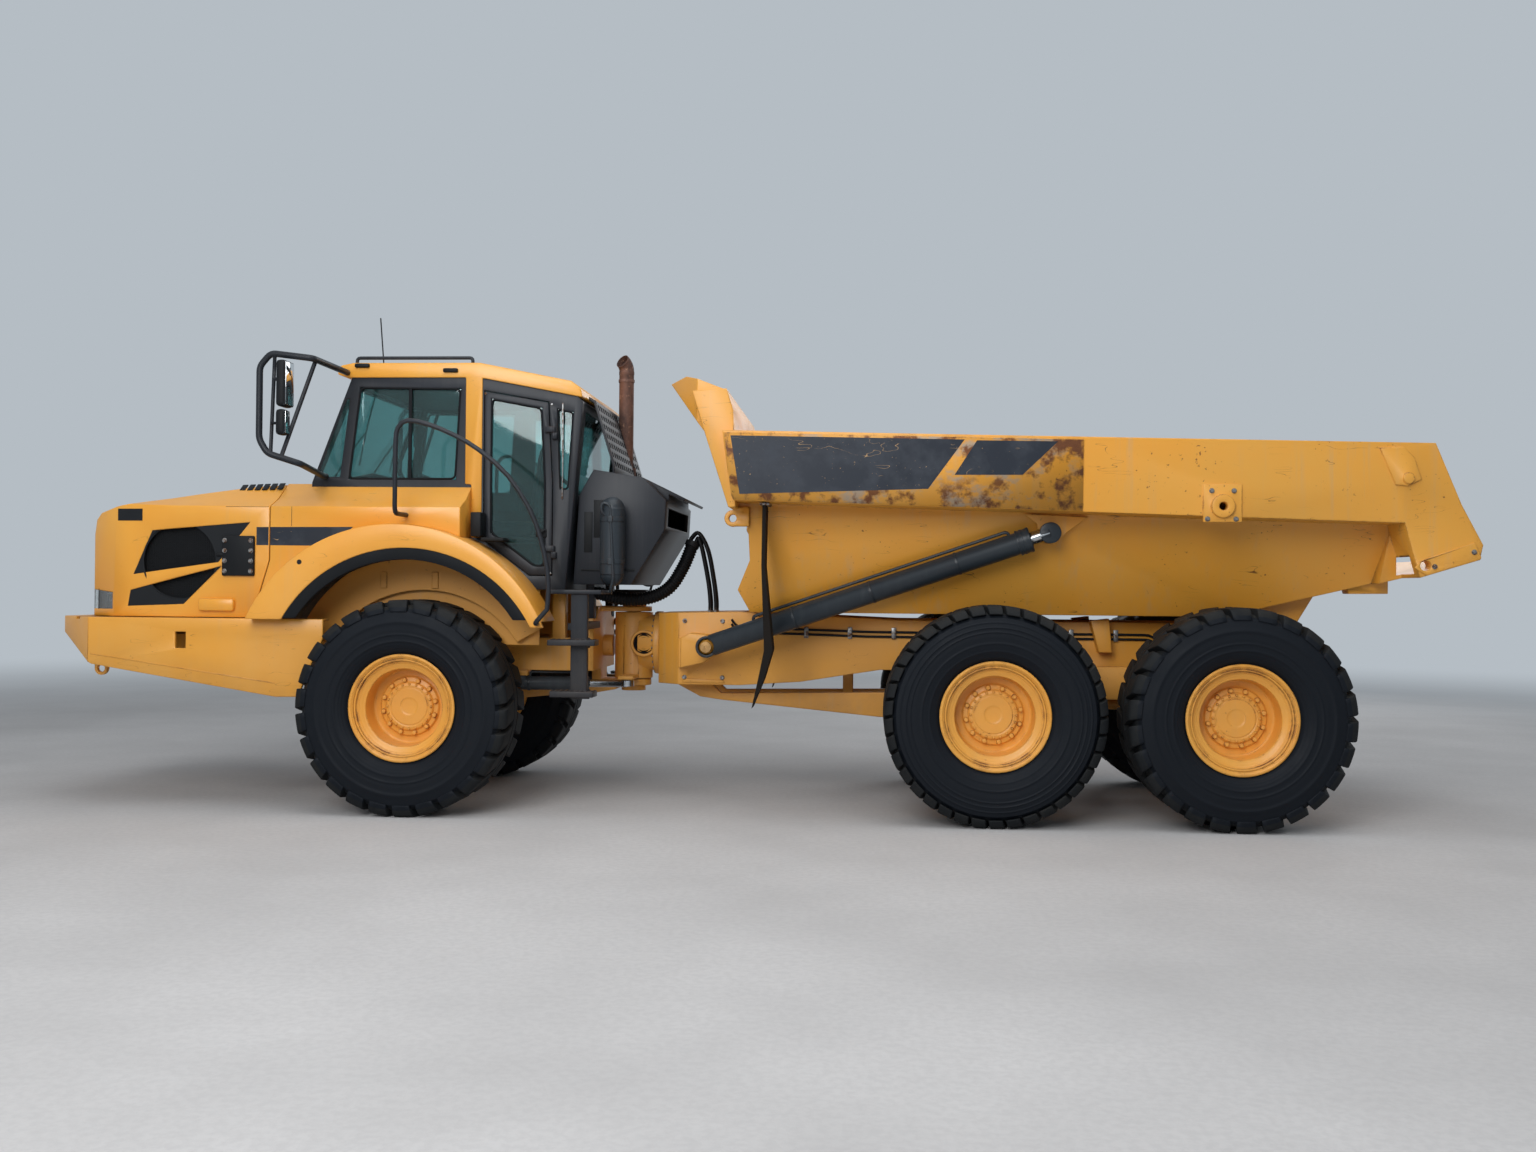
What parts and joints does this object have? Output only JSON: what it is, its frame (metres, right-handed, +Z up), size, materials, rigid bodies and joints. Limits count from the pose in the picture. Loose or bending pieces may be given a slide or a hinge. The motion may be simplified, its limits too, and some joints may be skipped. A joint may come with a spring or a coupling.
{
  "type": "articulated dump truck",
  "caption": "Articulated hauler: a hooded tractor with a glazed cab, steered by a central hinge that also rolls, and an open dump body with side rails on a bogie.",
  "frame": {"origin": "on the ground at the middle of the bounding box", "axes": "+X towards the tail of the dump body, +Y to the right-hand side of the truck, +Z up"},
  "size_m": [10.22, 3.249, 3.6804],
  "materials": {
    "painted": "yellow gloss enamel, faded, scratched and rusty at the edges",
    "dark": "dark grey semi-gloss enamel, dusty",
    "trim_rubber": "black moulded rubber, dusty",
    "tyre": "worn black tyre rubber with grey dust",
    "glass": "green tinted safety glass",
    "rod": "hard chromed rod",
    "seat": "dark grey woven seat fabric",
    "plastic": "black grained plastic",
    "lamp": "clear lamp lens over a bright reflector",
    "stack": "heat-browned rusty pipe",
    "engine": "grey engine casting"
  },
  "bodies": {
    "tractor": {"front_frame": "painted", "bumper": "painted", "fenders": "painted", "arch_trims": "trim_rubber", "cowl": "painted", "cab_shell": "dark", "cab_roof": "painted", "cab_glass": "glass", "cab_interior": "plastic", "seat_base": "dark", "seat_pads": "seat", "engine": "engine", "exhaust": "stack", "rear_housing": "dark", "rear_guard": "dark", "air_tank": "dark", "steps": "dark", "handrails": "dark", "mirrors": "dark", "aerial": "dark", "front_axle": "painted", "steering_barrels": "dark", "hoses_front": "trim_rubber"},
    "hood": {"hood": "painted", "hood_grilles": "dark", "headlamps": "lamp"},
    "door": {"door": "dark", "door_glass": "glass"},
    "hitch": {"hitch": "painted"},
    "rear_frame": {"rear_frame": "painted", "bogie_beams": "painted", "bogie_axles": "painted", "stays": "painted", "hoses_rear": "trim_rubber"},
    "dump_body": {"dump_body": "painted", "mud_flaps": "trim_rubber"},
    "hoist_barrel_left": {"hoist_barrel_left": "dark"},
    "hoist_rod_left": {"hoist_rod_left": "rod"},
    "steering_rod_left": {"steering_rod_left": "rod"},
    "hoist_barrel_right": {"hoist_barrel_right": "dark"},
    "hoist_rod_right": {"hoist_rod_right": "rod"},
    "steering_rod_right": {"steering_rod_right": "rod"},
    "wheel_front_left": {"tyre_front_left": "tyre", "rim_front_left": "painted"},
    "wheel_front_right": {"tyre_front_right": "tyre", "rim_front_right": "painted"},
    "wheel_mid_left": {"tyre_mid_left": "tyre", "rim_mid_left": "painted"},
    "wheel_mid_right": {"tyre_mid_right": "tyre", "rim_mid_right": "painted"},
    "wheel_rear_left": {"tyre_rear_left": "tyre", "rim_rear_left": "painted"},
    "wheel_rear_right": {"tyre_rear_right": "tyre", "rim_rear_right": "painted"}
  },
  "joints": [
    {"name": "steer", "type": "hinge", "parent": "tractor", "child": "hitch", "pos_m": [-0.906, 0, 1.206], "axis": [0, 0, 1], "range_deg": [-45, 45], "deforming": ["hoses_front", "hoses_rear"]},
    {"name": "roll", "type": "hinge", "parent": "hitch", "child": "rear_frame", "pos_m": [-0.666, 0, 1.206], "axis": [1, 0, 0], "range_deg": [-15, 15]},
    {"name": "tip", "type": "hinge", "parent": "rear_frame", "child": "dump_body", "pos_m": [4.004, 0, 1.4], "axis": [0, 1, 0], "range_deg": [0, 74]},
    {"name": "hood_lift", "type": "hinge", "parent": "tractor", "child": "hood", "pos_m": [-4.846, 0, 1.44], "axis": [0, -1, 0], "range_deg": [0, 68]},
    {"name": "door_swing", "type": "hinge", "parent": "tractor", "child": "door", "pos_m": [-1.38, -0.87, 2.3], "axis": [0, 0, 1], "range_deg": [0, 80]},
    {"name": "hoist_swing_left", "type": "hinge", "parent": "rear_frame", "child": "hoist_barrel_left", "pos_m": [-0.246, -0.72, 1.205], "axis": [-0.2579, -0.8794, 0.4002], "range_deg": [0, 7.29]},
    {"name": "hoist_stroke_left", "type": "slide", "parent": "hoist_barrel_left", "child": "hoist_rod_left", "axis": [0.9381, -0.1289, 0.3214], "range_m": [0, 2.2311]},
    {"name": "steering_stroke_left", "type": "slide", "parent": "tractor", "child": "steering_rod_left", "axis": [0.9889, 0.1483, 0], "range_m": [-0.23, 0.23]},
    {"name": "hoist_swing_right", "type": "hinge", "parent": "rear_frame", "child": "hoist_barrel_right", "pos_m": [-0.246, 0.72, 1.205], "axis": [0.2579, -0.8794, -0.4002], "range_deg": [0, 7.29]},
    {"name": "hoist_stroke_right", "type": "slide", "parent": "hoist_barrel_right", "child": "hoist_rod_right", "axis": [0.9381, 0.1289, 0.3214], "range_m": [0, 2.2311]},
    {"name": "steering_stroke_right", "type": "slide", "parent": "tractor", "child": "steering_rod_right", "axis": [0.9889, -0.1483, 0], "range_m": [-0.23, 0.23]},
    {"name": "roll_front_left", "type": "hinge", "parent": "tractor", "child": "wheel_front_left", "pos_m": [-2.346, -1.129, 0.77], "axis": [0, 1, 0], "continuous": true},
    {"name": "roll_front_right", "type": "hinge", "parent": "tractor", "child": "wheel_front_right", "pos_m": [-2.346, 1.129, 0.77], "axis": [0, 1, 0], "continuous": true},
    {"name": "roll_mid_left", "type": "hinge", "parent": "rear_frame", "child": "wheel_mid_left", "pos_m": [1.829, -1.129, 0.77], "axis": [0, 1, 0], "continuous": true},
    {"name": "roll_mid_right", "type": "hinge", "parent": "rear_frame", "child": "wheel_mid_right", "pos_m": [1.829, 1.129, 0.77], "axis": [0, 1, 0], "continuous": true},
    {"name": "roll_rear_left", "type": "hinge", "parent": "rear_frame", "child": "wheel_rear_left", "pos_m": [3.499, -1.129, 0.77], "axis": [0, 1, 0], "continuous": true},
    {"name": "roll_rear_right", "type": "hinge", "parent": "rear_frame", "child": "wheel_rear_right", "pos_m": [3.499, 1.129, 0.77], "axis": [0, 1, 0], "continuous": true}
  ],
  "couplings": [
    {"joint": "hoist_swing_left", "follows": "tip", "ratio": 0.098256},
    {"joint": "hoist_stroke_left", "follows": "tip", "m_per_rad": 1.7271},
    {"joint": "steering_stroke_left", "follows": "steer", "m_per_rad": 0.285},
    {"joint": "hoist_swing_right", "follows": "tip", "ratio": 0.098256},
    {"joint": "hoist_stroke_right", "follows": "tip", "m_per_rad": 1.7271},
    {"joint": "steering_stroke_right", "follows": "steer", "m_per_rad": -0.285}
  ]
}
